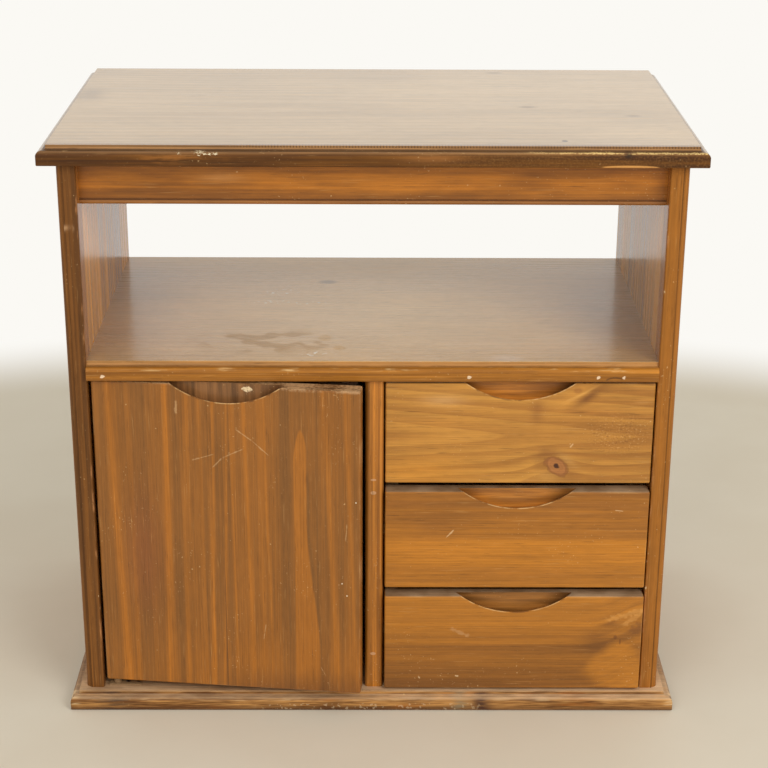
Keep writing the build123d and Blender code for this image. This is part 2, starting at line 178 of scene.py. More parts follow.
def lacquered(grain, colour, rough, relief, gloss=0.35, coat=0.15, coat_rough=0.2, depth=0.0004):
    """Stained and lacquered wood: colour and roughness under a clear coat, with a fine relief.

    coat is how whole the clear coat is, as a number or as a Field where it has worn unevenly.
    """
    tree = grain.tree
    shader = tree.nodes["Principled BSDF"]
    shader.inputs["Specular IOR Level"].default_value = gloss
    if isinstance(coat, Field):
        tree.links.new(coat.socket, shader.inputs["Coat Weight"])
    else:
        shader.inputs["Coat Weight"].default_value = coat
    shader.inputs["Coat Roughness"].default_value = coat_rough
    bump = tree.nodes.new("ShaderNodeBump")
    bump.inputs["Strength"].default_value = 0.4
    bump.inputs["Distance"].default_value = depth
    tree.links.new(relief.socket, bump.inputs["Height"])
    tree.links.new(colour.socket, shader.inputs["Base Color"])
    tree.links.new(rough.socket, shader.inputs["Roughness"])
    tree.links.new(bump.outputs["Normal"], shader.inputs["Normal"])
    tree.links.new(bump.outputs["Normal"], shader.inputs["Coat Normal"])


def aged(wood, grain, fibre, seed):
    """Adds what years leave on stained wood: blotches, dark resin lines, rubbed lines and nicks."""
    blotch = grain.noise((9.0, 30.0, 30.0), 3.0, seed)
    mottle = grain.noise((60.0, 190.0, 190.0), 3.0, seed + 1)
    wood = wood.lit(fibre * 0.7 + blotch * 0.32 + mottle * 0.25 + 1.0)
    resin = grain.noise((38.0, 950.0, 950.0), 2.0, seed + 2).rise(0.12, 0.24)
    wood = wood.mixed(stain(74, 44, 18), resin * 0.4)
    rubbed = grain.noise((26.0, 700.0, 700.0), 2.0, seed + 3).rise(0.13, 0.26)
    wood = wood.mixed(stain(214, 164, 100), rubbed * 0.25)
    worn = grain.noise((17.0, 17.0, 17.0), 2.0, seed + 6).rise(0.0, 0.22)
    small = grain.nicks(440.0, 0.20, seed + 4) * (worn + 0.1)
    large = grain.nicks(230.0, 0.28, seed + 5)
    return wood.mixed(stain(226, 188, 132), small.math("MAXIMUM", large) * 0.5)


def side_edges(board, low, high):
    """1 past the 45-degree lines from a board's front corners, where its side edges show end grain."""
    return (abs(board.u) + board.v - low.y - high.x).rise(-0.0006, 0.0006)


# Heights over a moulded board's underside: where its roll, ledge and step begin, and its top
roll_low, ledge, step_low, board_thick = 0.010, 0.015, 0.018, 0.020

base = Grain(finish_for("base_board"), "XYZ")
low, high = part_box("base_board")
end_grain = side_edges(base, low, high) * base.up.rise(0.98, 0.9)
fibre = base.fibres(1)
streak = base.noise((11.0, 120.0, 240.0), 4.0, 2)
fine_streak = base.noise((42.0, 420.0, 620.0), 3.0, 5)
patch = base.noise((10.0, 30.0, 40.0), 3.0, 7)
wood = (streak * 1.5 + fine_streak * 1.2 + patch * 1.0 + base.u * 0.5 + 0.40).rise(0.0, 0.9)
wood = wood.between(stain(96, 56, 22), stain(194, 140, 78))
orange = base.noise((14.0, 60.0, 90.0), 3.0, 4).rise(0.06, 0.28)
wood = wood.mixed(stain(192, 112, 34), orange * 0.65)
end_rings = base.noise((4.0, 30.0, 260.0), 4.0, 10) * 1.6 + 0.5
wood = wood.mixed(end_rings.between(stain(84, 50, 22), stain(150, 102, 54)), end_grain)
broken = base.noise((38.0, 120.0, 320.0), 5.0, 3)
groove = base.w.band(ledge - 0.0002, ledge + 0.0010, 0.0007)
wood = wood.mixed(stain(92, 60, 34), groove * broken.rise(-0.2, 0.1) * 0.75)
rubbed = base.w.band(roll_low + 0.0025, ledge - 0.0008, 0.0014)
wood = wood.mixed(stain(204, 166, 118), rubbed * broken.rise(-0.02, 0.18) * (end_grain * -0.5 + 0.65))
# Painted shade: the board darkens towards the floor over its lowest eight millimetres.
painted_foot_shade = base.w.rise(0.0080, 0.001)
wood = wood.mixed(stain(88, 56, 32), painted_foot_shade * 0.75)
# Marks on the front edge: stain, place along it, half length, where the mark breaks up, share
front_marks = (
    (stain(66, 40, 34), 0.122, 0.010, (-0.25, 0.0), 0.9),
    (stain(132, 122, 98), 0.099, 0.008, (-0.2, 0.1), 0.8),
    (stain(70, 52, 42), -0.285, 0.024, (-0.1, 0.12), 0.7),
)
for colour, place, half_length, breaks, share in front_marks:
    mark = base.spot((place, low.y + 0.002), half_length, 0.02) * broken.rise(*breaks)
    wood = wood.mixed(colour, mark * share)
front_edge = base.v.rise(low.y + 0.03, low.y + 0.015)
cove = base.w.rise(step_low, step_low + 0.0008) * base.up.rise(0.97, 0.8) * front_edge
wood = wood.mixed(stain(208, 170, 126), cove * (broken.rise(-0.3, 0.1) * 0.5 + 0.15))
corner = abs(base.u).rise(high.x - 0.014, high.x - 0.001) * base.w.rise(0.004, 0.008) * front_edge
wood = wood.mixed(stain(228, 196, 146), corner * broken.rise(-0.08, 0.1) * 0.8)
dust = base.up.rise(0.45, 0.9) * (base.noise((30.0, 90.0, 90.0), 4.0, 9) * 1.5 + 0.85)
dust = dust * (base.v.rise(-0.16, -0.12) * -0.5 + 1.0)
dust = dust * (base.w.rise(step_low, board_thick) * 0.35 + 0.65)
# The dust thins towards the left end, below the door; this also stands as painted shade from the door there.
dust = dust * (base.u.rise(-0.12, 0.02) * 0.35 + 0.75)
wood = wood.mixed(stain(222, 184, 142), dust * 0.95)
drops = base.nicks(260.0, 0.10, 6) * base.w.band(0.002, 0.008, 0.002)
drops = drops * base.u.band(-0.10, 0.10, 0.04) * front_edge
wood = wood.mixed(stain(222, 196, 158), drops * 0.35)
wood = aged(wood, base, fibre, 8)
lacquered(base, wood, dust * 0.3 + 0.5, fibre + broken * 0.8, gloss=0.25, coat=0.0)

# Side panels: two upright boards that stand on the base and carry the top, with an ovolo run down the outer
# front arris. The right one took the stain lighter. Hands and chairs have chipped their front arrises.

# Each panel's darkest and lightest stain inside the niche, the stain of its front edge, and its seed
side_looks = {
    "left_side_panel": (stain(158, 98, 12), stain(236, 160, 38), stain(95, 60, 29), 11),
    "right_side_panel": (stain(144, 96, 22), stain(212, 150, 54), stain(160, 101, 38), 17),
}
# Where the niche's walls begin, behind the apron and over the shelf; inside it they take a brighter stain,
# partly painted light that stands for the light reaching into the niche
niche_front, niche_floor = -0.150, 0.400
for name, (brown, orange, front_stain, seed) in side_looks.items():
    side = Grain(finish_for(name), "ZYX")
    low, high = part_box(name)
    inner_face = min(abs(low.x), abs(high.x))
    from_inside = abs(side.w) - inner_face
    fibre = side.fibres(seed)
    stripe = side.noise((1.2, 22.0, 22.0), 3.0, seed) * 1.4
    stripe = stripe + side.noise((1.6, 70.0, 70.0), 2.0, seed + 1) * 1.2
    stripe = stripe + side.noise((2.5, 260.0, 260.0), 2.0, seed + 6) * 0.5 + 0.5
    # Inside the niche the walls take the brighter stain, partly as painted light.
    inside = stripe.rise(0.2, 0.8).between(brown, orange)
    outside = stripe.rise(0.1, 0.9).between(stain(126, 79, 35), stain(178, 114, 48))
    niche = from_inside.rise(0.002, 0.001) * side.v.rise(niche_front, niche_front + 0.010)
    niche = niche * side.u.rise(niche_floor, niche_floor + 0.008)
    wood = outside.mixed(inside, niche)
    front = side.v.rise(low.y + 0.007, low.y + 0.003)
    edge_stripe = side.noise((3.0, 40.0, 260.0), 3.0, seed + 4)
    wood = wood.mixed(front_stain, front * (edge_stripe * 1.4 + 0.8))
    quirk = from_inside.band(0.0130, 0.0138, 0.0005) * front
    wood = wood.mixed(stain(74, 44, 18), quirk * 0.6)
    worn = side.noise((46.0, 90.0, 200.0), 4.0, seed + 2)
    arris = from_inside.rise(0.0026, 0.0006) * front
    wood = wood.mixed(stain(188, 132, 84), arris * worn.rise(0.02, 0.2) * 0.7)
    chips = side.noise((120.0, 260.0, 260.0), 2.0, seed + 3).rise(0.19, 0.23)
    wood = wood.mixed(stain(226, 196, 150), arris * chips * 0.9)
    if name == "left_side_panel":
        scrape = side.u.bell(0.5545, 0.003) * from_inside.band(0.004, 0.014, 0.001) * front
        wood = wood.mixed(stain(196, 154, 112), scrape * worn.rise(-0.15, 0.1) * 0.7)
    wood = aged(wood, side, fibre, seed + 5)
    rough = stripe * 0.12 + front * 0.25 + 0.19
    relief = fibre * 0.4 + stripe * 0.7
    lacquered(side, wood, rough, relief, gloss=0.2, coat=niche * 0.12, coat_rough=0.1)

# Divider: an upright board between the cupboard and the drawers, doweled to the base and the shelf, with both
# front arrises rounded over. The drawers have knocked pale chips out of its front edge.

divider = Grain(finish_for("centre_divider"), "ZYX")
fibre = divider.fibres(23)
stripe = divider.noise((1.8, 60.0, 210.0), 2.0, 24) * 1.1 + 0.5
# Painted shade: the stain darkens towards the divider's left side, where the ajar door shades it, and it is
# also darker on its right arris.
stripe = stripe + (divider.w - 0.002) * 14.0 - divider.w.rise(0.0085, 0.0115) * 0.3
wood = stripe.rise(0.2, 0.8).between(stain(142, 87, 30), stain(216, 138, 50))
# Chips of the front edge: height, half length
divider_chips = ((0.2741, 0.0014), (0.2588, 0.0024), (0.062, 0.002))
for chip_height, chip_size in divider_chips:
    chip = divider.u.bell(chip_height, chip_size) * divider.w.bell(0.001, 0.0035)
    wood = wood.mixed(stain(216, 168, 124), chip.rise(0.35, 0.6) * 0.8)
wood = aged(wood, divider, fibre, 26)
lacquered(divider, wood, fibre * 0.5 + 0.36, fibre)

# Back panel: one sheet of smooth brown hardboard, in a rebate behind the cupboard and the drawers. Small
# steel pins hold it.

back = Grain(finish_for("back_panel"), "XZY")
felt = back.noise((420.0, 420.0, 420.0), 4.0, 31)
cloud = back.noise((9.0, 9.0, 9.0), 3.0, 32)
wood = (felt * 1.2 + cloud * 1.2 + 0.5).between(stain(104, 72, 46), stain(146, 108, 72))
lacquered(back, wood, felt * 0.4 + 0.55, felt, gloss=0.4, coat=0.0)

# Middle shelf: edge-glued pine doweled between the sides, the floor of the open niche. Its front edge has the
# moulding of the top. Things set down on it have left smears and pale scuffs in the lacquer.


def striped(grain, seed, broad, across=None):
    """Uneven stripes of early and late wood about 0.5, with so many broad ones to the metre.

    They run along the grain, or along the lines on which another distance across it is even.
    """
    whole = grain.place
    if across is not None:
        grain.place = grain.u.made("ShaderNodeCombineXYZ", (grain.u, across, 0.0))
    stripes = grain.noise((1.0, broad, broad), 2.0, seed)
    stripes = stripes + grain.noise((1.5, broad * 4, broad * 4), 2.0, seed + 1) * 0.8
    stripes = stripes + grain.noise((2.5, broad * 11, broad * 11), 2.0, seed + 2) * 0.5 + 0.5
    grain.place = whole
    return stripes


def ring_count(grain, pith, ring, taper=0.0, wander=0.004, phase=0.0, seed=0.0, knots=()):
    """Growth rings between the pith and a place: r / ring + taper * u + phase.

    r is the distance from a pith line at (v, w) that wanders along the grain. Each knot (u, v, half length,
    half height, lift) adds lift * exp(-d * d), which bends the rings round it.
    """
    drift = grain.noise((1.7, 7.0, 7.0), 2.0, seed) * (3 * wander)
    flank = (grain.v - pith[0] + drift).squared()
    count = (flank + (grain.w - pith[1]).squared()).root() / ring + grain.u * taper + phase
    count = count + grain.noise((3.0, 60.0, 60.0), 1.0, seed + 5) * 0.7
    for u, v, length, height, lift in knots:
        count = count + grain.spot((u, v), 2.2 * length, 2.2 * height) * lift
    return count


def latewood(count):
    """Share of the dense wood of a ring: it grows through the ring and ends sharply at the ring's edge."""
    step = count.math("FRACT")
    return step.rise(0.15, 0.86) * step.rise(1.0, 0.9)


# Heights over a moulded board's underside between which its moulding turns into its flat
flat_low, flat_high = 0.0192, 0.0198

shelf = Grain(finish_for("middle_shelf"), "XYZ")
low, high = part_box("middle_shelf")
height = shelf.w - low.z
fibre = shelf.fibres(41)
flat = height.rise(flat_low, flat_high)
streak = shelf.noise((4.0, 120.0, 210.0), 3.0, 42)
edge = (streak * 1.8 + shelf.u * 0.5 + 0.5).rise(0.1, 0.9)
edge = edge.between(stain(134, 83, 28), stain(194, 126, 42))
upper_step = height.band(ledge + 0.0005, board_thick + 0.0005, 0.001)
edge = edge.mixed(stain(190, 142, 88), upper_step * 0.6)
broken = shelf.noise((40.0, 120.0, 260.0), 5.0, 43)
groove = height.band(ledge, ledge + 0.0008, 0.0005)
edge = edge.mixed(stain(120, 78, 40), groove * broken.rise(-0.2, 0.1) * 0.4)
rubbed = height.band(roll_low + 0.0025, ledge - 0.0008, 0.0014)
front_edge = shelf.v.rise(low.y + 0.03, low.y + 0.02)
edge = edge.mixed(stain(224, 186, 126), rubbed * broken.rise(0.06, 0.22) * front_edge * 0.7)
# Painted shade: the edge darkens over its lowest six millimetres, under the nose.
painted_underside_shade = height.rise(0.006, 0.0015)
edge = edge.mixed(stain(104, 62, 24), painted_underside_shade * 0.5)
# Chips of the front edge: place along it, half length
shelf_chips = ((-0.2832, 0.0026), (0.1007, 0.0026), (0.236, 0.0020), (0.263, 0.0016))
for place, size in shelf_chips:
    chip = (shelf.u + broken * 0.006).bell(place, size) * height.bell(0.0055, 0.0022)
    edge = edge.mixed(stain(236, 208, 176), chip.rise(0.4, 0.6) * front_edge * 0.9)
scar = (height - 0.0055 - (shelf.u - 0.254).squared() * -30.0 + broken * 0.003).bell(0.0, 0.0009)
edge = edge.mixed(stain(72, 44, 24), scar * front_edge * shelf.u.band(0.246, 0.260, 0.003) * 0.7)
rings = latewood(ring_count(shelf, (0.03, high.z - 0.07), 0.013, 1.2, 0.010, seed=44))
board = (rings * 0.3 + striped(shelf, 46, 14.0) * 0.7).rise(0.0, 0.9)
board = board.between(stain(186, 138, 76), stain(212, 165, 101))
haze = shelf.noise((6.0, 9.0, 9.0), 3.0, 45)
board = board.mixed(stain(218, 176, 116), haze.rise(-0.2, 0.25) * 0.6)
# Painted light and shade: the middle of the shelf is paler and its ends, by the side panels, darker, as the
# light falls in the niche.
painted_middle_light = shelf.spot((0.0, 0.0), 0.20, 0.17)
board = board.mixed(stain(250, 212, 152), painted_middle_light * 0.85)
painted_end_shade = abs(shelf.u).rise(0.19, 0.29)
board = board.mixed(stain(136, 98, 56), painted_end_shade * 0.45)
knot = shelf.spot((-0.053, 0.095), 0.013, 0.008).rise(0.2, 0.9)
board = board.mixed(stain(100, 72, 52), knot * 0.65)
yellow_back = shelf.v.rise(0.07, 0.16)
board = board.mixed(stain(176, 134, 60), yellow_back * 0.6)
smear = shelf.noise((26.0, 34.0, 34.0), 2.0, 47)
smear = smear.rise(-0.02, 0.05) * (smear.rise(0.10, 0.16) * -0.5 + 1.0)
smeared = shelf.spot((-0.11, -0.112), 0.075, 0.035).rise(0.15, 0.6)
board = board.mixed(stain(140, 100, 62), smear * smeared * 0.25)
drips = shelf.spot((-0.052, -0.100), 0.008, 0.010)
drips = drips.math("MAXIMUM", shelf.spot((-0.036, -0.132), 0.007, 0.008))
dulled = (smear * smeared).math("MAXIMUM", drips.rise(0.2, 0.7))
bleached = shelf.spot((0.141, -0.163), 0.020, 0.010).rise(0.1, 0.9)
board = board.mixed(stain(232, 204, 178), bleached * 0.4)
scuff = shelf.noise((190.0, 150.0, 150.0), 4.0, 48).rise(0.06, 0.14)
scuffed = shelf.spot((-0.105, 0.056), 0.020, 0.012)
for place, half_length in (((-0.09, 0.020), 0.055), ((-0.06, -0.150), 0.020)):
    scuffed = scuffed.math("MAXIMUM", shelf.spot(place, half_length, 0.008))
board = board.mixed(stain(255, 246, 226), scuff * scuffed.rise(0.2, 0.8) * 0.9)
wood = aged(edge.mixed(board, flat), shelf, fibre * (flat * -0.6 + 1.0), 49)
coat = flat * (dulled * -0.5 + 0.65)
lacquered(shelf, wood, haze * 0.2 + fibre * 0.3 + 0.3, fibre, gloss=0.3, coat=coat, coat_rough=0.12)

# Rails: the apron under the top's front edge has a bead run along its lower edge. A plain unstained rail at
# the back stiffens the open niche. Both are doweled between the sides.

rail = Grain(finish_for("front_apron_rail"), "XZY")
low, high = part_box("front_apron_rail")
fibre = rail.fibres(51)
blotch = rail.noise((6.0, 55.0, 55.0), 3.0, 52)
fleck = rail.noise((14.0, 70.0, 70.0), 3.0, 55)
stripe = striped(rail, 53, 40.0) * 0.7 + blotch * 1.2 + fleck + rail.u * 0.25 + 0.15
wood = stripe.rise(0.1, 0.85).between(stain(136, 80, 22), stain(186, 114, 32))
rubbed_patch = rail.spot((-0.155, 0.603), 0.022, 0.005)
wood = wood.mixed(stain(206, 150, 92), rubbed_patch * 0.35)
from_below = rail.v - low.z
quirk = from_below.band(0.0046, 0.0058, 0.0006)
wood = wood.mixed(stain(82, 46, 20), quirk * 0.85)
bead_crest = from_below.band(0.0028, 0.0036, 0.001)
wood = wood.mixed(stain(196, 140, 90), bead_crest * 0.5)
# Painted shade: the rail darkens under the top's overhang and towards the bead.
painted_top_shadow = rail.v.rise(high.z - 0.010, high.z)
wood = wood.mixed(stain(112, 66, 26), painted_top_shadow * 0.4)
painted_bead_shade = from_below.rise(0.020, 0.006)
wood = wood.mixed(stain(116, 70, 28), painted_bead_shade * 0.45)
wood = aged(wood, rail, fibre, 54)
lacquered(rail, wood, fibre * 0.4 + 0.36, fibre)

# Top board: edge-glued pine doweled down onto the sides. Its moulded edge overhangs the front and both sides,
# and took the stain almost black-brown. The cutter chattered along its step. The flat is hazy with wear.

top = Grain(finish_for("top_board"), "XYZ")
low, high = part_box("top_board")
height = top.w - low.z
fibre = top.fibres(61)
flat = height.rise(flat_low, flat_high)
end_grain = side_edges(top, low, high)
streak = top.noise((5.0, 110.0, 190.0), 3.0, 62)
broken = top.noise((60.0, 90.0, 300.0), 5.0, 63)
dark_edge = (streak * 1.5 + 0.45).rise(0.1, 0.9).between(stain(70, 39, 12), stain(118, 73, 22))
orange = top.u.band(-0.215, -0.165, 0.03) * height.bell(0.008, 0.005)
orange = orange * (streak + broken).rise(-0.1, 0.25)
dark_edge = dark_edge.mixed(stain(164, 104, 46), orange * 0.6)
front_edge = top.v.rise(low.y + 0.03, low.y + 0.02)
lens = height - 0.0026 - ((top.u - 0.256) / 0.03).squared() * -0.0014
lens = lens.rise(0.0006, -0.0004) * top.u.band(0.232, 0.281, 0.006)
dark_edge = dark_edge.mixed(stain(214, 154, 84), lens * front_edge * 0.9)
grit = top.noise((480.0, 480.0, 480.0), 2.0, 60)
# Painted sheen: fine pale mottling on the right half of the front edge.
painted_sheen_right = grit.rise(-0.1, 0.25) * top.u.rise(0.0, 0.12)
dark_edge = dark_edge.mixed(stain(150, 104, 52), painted_sheen_right * front_edge * 0.3)
pale_run = top.u.bell(0.06, 0.03) * height.bell(0.009, 0.004)
dark_edge = dark_edge.mixed(stain(166, 108, 54), pale_run * 0.6)
end_rings = top.noise((4.0, 30.0, 260.0), 4.0, 64) * 1.6 + 0.5
upper_band = (streak * 1.5 + 0.5).rise(0.1, 0.9).between(stain(124, 86, 48), stain(180, 132, 82))
edge = dark_edge.mixed(upper_band, height.rise(ledge - 0.003, ledge))
groove = height.band(ledge, ledge + 0.0010, 0.0006)
edge = edge.mixed(stain(64, 42, 24), groove * 0.75)
edge = edge.mixed(end_rings.between(stain(60, 32, 10), stain(112, 70, 26)), end_grain * 0.9)
chatter_pitch = 0.0031
along_edge = top.u + end_grain * (top.v - top.u)
chatter = (along_edge * (2 * math.pi / chatter_pitch)).math("SINE").rise(0.1, 0.9)
chatter = chatter * top.u.rise(-0.16, -0.10)
edge = edge.mixed(stain(72, 46, 24), height.band(step_low, flat_low, 0.0006) * (chatter * 0.6 + 0.3))
# A pale broken line along the ledge, strongest on the right, and pale spots along it elsewhere.
pale_ledge_line = (height + grit * 0.0016).band(ledge - 0.0009, ledge - 0.0003, 0.0004)
right_pale_line = top.u.rise(0.13, 0.22) * (grit + broken).rise(-0.12, 0.06)
right_pale_line = right_pale_line * front_edge * (end_grain * -0.8 + 1.0)
edge = edge.mixed(stain(232, 198, 126), pale_ledge_line * right_pale_line * 0.9)
not_rear = top.v.rise(high.y - 0.001, high.y - 0.003)
edge = edge.mixed(stain(206, 168, 112), pale_ledge_line * broken.rise(0.1, 0.18) * not_rear * 0.7)
left_chips = top.u.band(-0.176, -0.157, 0.003).math("MAXIMUM", top.u.bell(-0.1935, 0.0016))
left_chips = left_chips * (height + grit * 0.01).bell(0.0140, 0.0012).rise(0.4, 0.6)
left_chips = left_chips * (grit + broken * 0.6).rise(-0.06, 0.04) * front_edge
edge = edge.mixed(stain(238, 222, 184), left_chips * 0.9)
side_roll = abs(top.u).rise(high.x - 0.0062, high.x - 0.0050) * height.rise(0.0115, 0.0140) * end_grain
edge = edge.mixed(stain(172, 140, 100), side_roll * (streak + 0.8))
burn = top.u.bell(0.254, 0.004) * height.bell(0.0125, 0.003)
edge = edge.mixed(stain(46, 31, 20), burn * front_edge * 0.9)
rings = latewood(ring_count(top, (-0.02, high.z - 0.06), 0.012, 1.1, 0.012, seed=65))
board = (rings * 0.3 + striped(top, 66, 13.0) * 0.7).rise(0.0, 0.9)
board = board.between(stain(172, 138, 94), stain(196, 163, 118))
haze = top.noise((4.0, 9.0, 9.0), 3.0, 67)
hazy = (haze + top.u * 0.4 + top.v * 0.3).rise(-0.25, 0.25)
board = board.mixed(stain(216, 187, 148), hazy * 0.65)
# Small knots: place, half length, half width
small_knots = (
    ((0.168, -0.007), 0.012, 0.007), ((0.142, 0.173), 0.012, 0.006), ((0.277, -0.048), 0.010, 0.006),
)
for place, half_length, half_width in small_knots:
    knot = top.spot(place, half_length, half_width).rise(0.2, 0.95)
    board = board.mixed(stain(104, 70, 40), knot * 0.5)
brown_patch = top.spot((-0.3155, 0.05), 0.016, 0.03)
board = board.mixed(stain(112, 80, 48), brown_patch * 0.5)
dark_speck = top.spot((0.193, -0.161), 0.004, 0.005).rise(0.4, 0.7)
board = board.mixed(stain(86, 58, 34), dark_speck * 0.9)
border = chatter.between(stain(142, 100, 58), stain(108, 72, 38))
along_front = (top.v - low.y + haze * 0.004).rise(0.016, 0.013)
board = board.mixed(border, along_front * 0.85)
wood = aged(edge.mixed(board, flat), top, fibre, 69)
coat = flat.math("MAXIMUM", side_roll) * 0.9
lacquered(top, wood, haze * 0.2 + fibre * 0.3 + 0.36, fibre, gloss=0.25, coat=coat)

# Fastenings and runners: beech dowels glued into the ends of the boards, beech strips that the drawers hang
# on, screwed to the carcass, and plated steel pins, nails and screws.

drawers, hands = (1, 2, 3), ("left", "right")
beech_nodes = [f"{joint}_dowels" for joint in ("top", "shelf", "base", "divider", "rail")]
beech_nodes += [f"drawer_{number}_dowels" for number in drawers]
beech_nodes += [f"drawer_{number}_{hand}_runner" for number in drawers for hand in hands]
beech = Grain(finish_for(*beech_nodes), "YZX")
fleck = beech.noise((160.0, 900.0, 900.0), 2.0, 71)
stripe = beech.noise((5.0, 150.0, 150.0), 2.0, 72)
wood = (stripe * 1.4 + 0.5).between(stain(196, 150, 108), stain(222, 182, 140))
wood = wood.mixed(stain(158, 108, 72), fleck.rise(0.12, 0.25) * 0.7)
lacquered(beech, wood, fleck * 0.4 + 0.55, fleck, gloss=0.3, coat=0.0)


def plated(colour, dull_colour, seed, *nodes):
    """Metal whose plating has gone dull in patches, with fine marks of handling."""
    grain = Grain(finish_for(*nodes), "XYZ")
    patch = grain.noise((120.0, 120.0, 120.0), 4.0, seed)
    mark = grain.noise((2200.0, 300.0, 900.0), 2.0, seed + 1)
    shader = grain.tree.nodes["Principled BSDF"]
    shader.inputs["Metallic"].default_value = 1.0
    colour = patch.rise(-0.05, 0.25).between(colour, dull_colour)
    lacquered(grain, colour, patch * 0.5 + mark * 0.3 + 0.38, mark, gloss=0.5, coat=0.0, depth=0.0001)


plated(stain(186, 188, 190), stain(126, 124, 120), 74,
       "back_panel_pins", "runner_screws", "hinge_plate_screws", "catch_screws", "strike_screw",
       *(f"drawer_{number}_nails" for number in drawers))

# Drawer boxes: unstained pine sides grooved for the runners, pine backs, and hardboard bottoms, nailed and
# doweled together. The rear rail of the carcass is the same unstained pine.

side_nodes = [f"drawer_{number}_{hand}_side" for number in drawers for hand in hands]
back_nodes = ["rear_top_rail", *(f"drawer_{number}_back" for number in drawers)]
for axes, seed, nodes in (("YZX", 76, side_nodes), ("XZY", 78, back_nodes)):
    pine = Grain(finish_for(*nodes), axes)
    fibre = pine.fibres(seed)
    share = striped(pine, seed, 20.0) * 0.9 + pine.noise((2.0, 260.0, 260.0), 2.0, seed + 4) * 0.6
    wood = share.rise(0.1, 0.9).between(stain(200, 154, 100), stain(230, 200, 154))
    greyed = pine.noise((4.0, 14.0, 14.0), 3.0, seed + 1).rise(0.0, 0.3)
    wood = wood.mixed(stain(190, 158, 118), greyed * 0.6)
    lacquered(pine, wood.lit(fibre * 0.4 + 1.0), fibre * 0.3 + 0.6, fibre, gloss=0.3, coat=0.0)

bottom = Grain(finish_for(*(f"drawer_{number}_bottom" for number in drawers)), "XYZ")
felt = bottom.noise((420.0, 420.0, 420.0), 4.0, 79)
cloud = bottom.noise((12.0, 12.0, 12.0), 3.0, 80)
wood = (felt * 1.2 + cloud * 1.3 + 0.5).between(stain(116, 82, 54), stain(160, 120, 82))
wood = wood.mixed(stain(182, 164, 142), cloud.rise(0.05, 0.3) * bottom.up.rise(0.5, 0.9) * 0.6)
lacquered(bottom, wood, felt * 0.4 + 0.5, felt, gloss=0.4, coat=0.0)

# Drawer fronts: one pine board each, doweled to its box, with a blind finger scoop undercut in the top edge.
# The scoop's rim is rubbed pale, and dust lies on the top edges. The upper board is cut near the heart of a
# small tree, with a live knot. The lower one was sawn beside a branch fork.

scoop_chord, scoop_drop = 0.115, 0.019
scoop_radius = (scoop_chord ** 2 / 4 + scoop_drop ** 2) / (2 * scoop_drop)


def scratch(grain, start, end, width):
    """Straight scratch from start to end, both (u, v), and width across, thinning at its ends."""
    run = np.subtract(end, start)
    share = ((grain.u - start[0]) * float(run[0]) + (grain.v - start[1]) * float(run[1])) / float(run @ run)
    share = share.math("MINIMUM", 1.0).math("MAXIMUM", 0.0)
    off_u = grain.u - start[0] - share * float(run[0])
    off_v = grain.v - start[1] - share * float(run[1])
    away = (off_u.squared() + off_v.squared()).root()
    away = away + grain.noise((220.0, 220.0, 220.0), 2.0, start[0] * 90) * (width * 2.4)
    return away.rise(width, width * 0.2) * (share - share.squared()).rise(-0.02, 0.12)


def with_knot(wood, grain, knot, tilt, rim, heart, core):
    """Draws a branch cut aslant: a dark rim, a paler heart with rings of its own, and a dark core."""
    u, v, length, height, _ = knot
    along, beside = grain.turned((u, v), tilt)
    away = ((along / length).squared() + (beside / height).squared()).root()
    away = away + grain.noise((130.0, 130.0, 130.0), 2.0, u + v) * 0.7
    wood = wood.mixed(rim, away.rise(2.4, 1.0) * 0.35)
    wood = wood.mixed(heart, away.rise(1.0, 0.88) * 0.85)
    wood = wood.mixed(rim, away.band(0.86, 0.98, 0.14) * 0.55)
    wood = wood.mixed(rim, ((away * 3.6).math("FRACT").rise(0.55, 0.95)) * away.rise(0.95, 0.8) * 0.18)
    return wood.mixed(core, away.rise(0.34, 0.16))


def scoop_wear(wood, grain, across, centre, top_edge, front, dark, pale, seed):
    """Rubs the rim of a finger scoop pale and leaves its back wall dark orange, with painted shade towards
    its ends.

    across is the place along the board's top edge. The rim is where sqrt(x * x + z * z) from the cutter's
    axis is the scoop's radius, and the wall is what lies inside it, behind the face.
    """
    upward = grain.v if across is grain.u else grain.u
    axis_height = top_edge - scoop_drop + scoop_radius
    reach = ((across - centre).squared() + (upward - axis_height).squared()).root()
    behind = grain.w.rise(front + 0.0012, front + 0.0035)
    inside = reach.rise(scoop_radius + 0.006, scoop_radius + 0.004) * behind
    wall = grain.noise((9.0, 140.0, 140.0), 3.0, seed)
    wall = wall.rise(-0.15, 0.2).between(dark, pale)
    along = (across - centre) / scoop_chord
    # Painted shade: the wall darkens towards both ends of the scoop, more strongly at the end where across is
    # larger.
    wall = wall.mixed(stain(84, 50, 24), along.rise(0.22, 0.48) * 0.65 + along.rise(-0.30, -0.48) * 0.3)
    wood = wood.mixed(wall, inside)
    broken = grain.noise((70.0, 70.0, 70.0), 4.0, seed + 1)
    rim = (reach + broken * 0.0012).band(scoop_radius - 0.0004, scoop_radius + 0.0009, 0.0006)
    rim = rim * grain.w.rise(front + 0.003, front + 0.001)
    wood = wood.mixed(stain(92, 58, 32), rim * broken.rise(0.0, -0.15) * 0.6)
    return wood.mixed(stain(224, 184, 128), rim * broken.rise(-0.05, 0.12) * 0.65)


def edge_distance(grain, low, high):
    """Distance from the nearest edge of a drawer front's face."""
    ends = (grain.u - low.x).math("MINIMUM", (grain.u - high.x) * -1.0)
    return ends.math("MINIMUM", (grain.v - low.z).math("MINIMUM", (grain.v - high.z) * -1.0))


drawer_grain, drawer_wood = {}, {}

upper = drawer_grain[1] = Grain(finish_for("drawer_1_front"), "XZY")
low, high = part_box("drawer_1_front")
